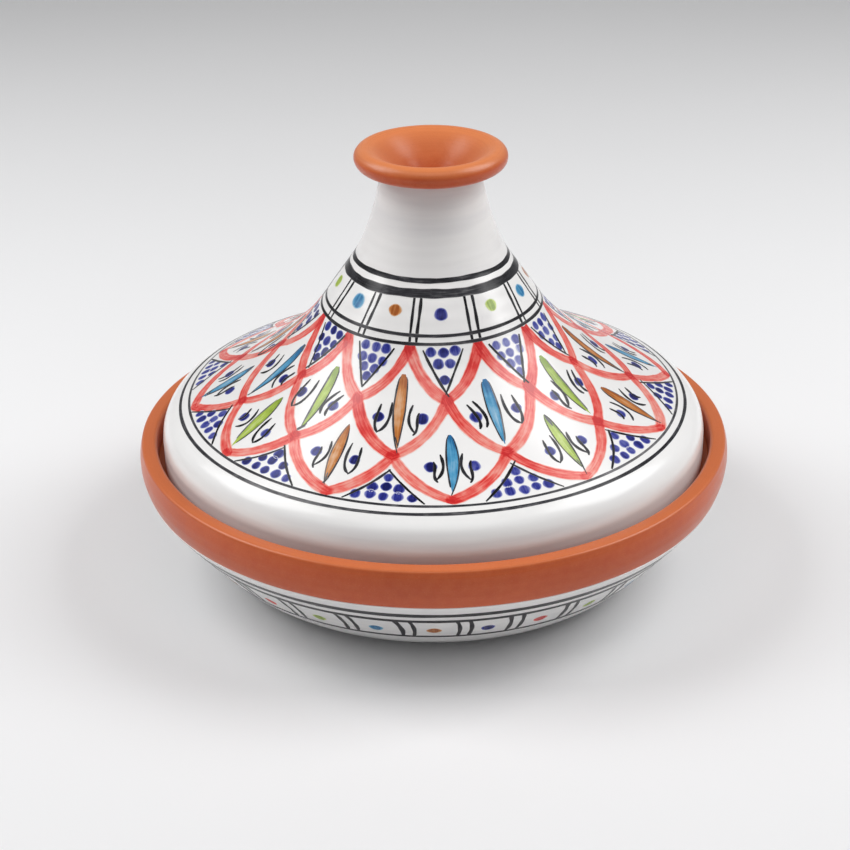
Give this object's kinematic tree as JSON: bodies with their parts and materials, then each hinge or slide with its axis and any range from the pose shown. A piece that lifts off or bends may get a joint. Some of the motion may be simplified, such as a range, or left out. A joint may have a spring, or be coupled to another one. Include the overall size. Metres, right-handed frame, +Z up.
{
  "type": "tagine pot",
  "caption": "Round earthenware tagine: a shallow serving dish with a bare clay lip and a loose conical lid with a flared knob, white glazed and hand painted.",
  "frame": {"origin": "on the turning axis, in the plane of the dish's foot", "axes": "+Z up along the turning axis of dish and lid; the painted pattern's main panel faces -Y"},
  "size_m": [0.278, 0.278, 0.2001],
  "materials": {
    "terracotta": "satin fired orange earthenware clay with a thin clear glaze",
    "white_glaze": "glossy opaque white fired glaze",
    "paint_red": "streaky coral red underglaze brushwork",
    "paint_black": "charcoal black underglaze brushwork",
    "paint_cobalt": "cobalt blue underglaze dots",
    "paint_green": "lime green underglaze brushwork",
    "paint_turquoise": "turquoise blue underglaze brushwork",
    "paint_orange": "orange brown underglaze brushwork"
  },
  "bodies": {
    "dish": {"dish_body": "terracotta", "dish_glaze": "white_glaze"},
    "lid": {"lid_body": "terracotta", "lid_glaze": "white_glaze"}
  },
  "joints": [
    {"name": "lid_lift", "type": "slide", "parent": "dish", "child": "lid", "axis": [0, 0, 1], "range_m": [0, 0.15]}
  ]
}
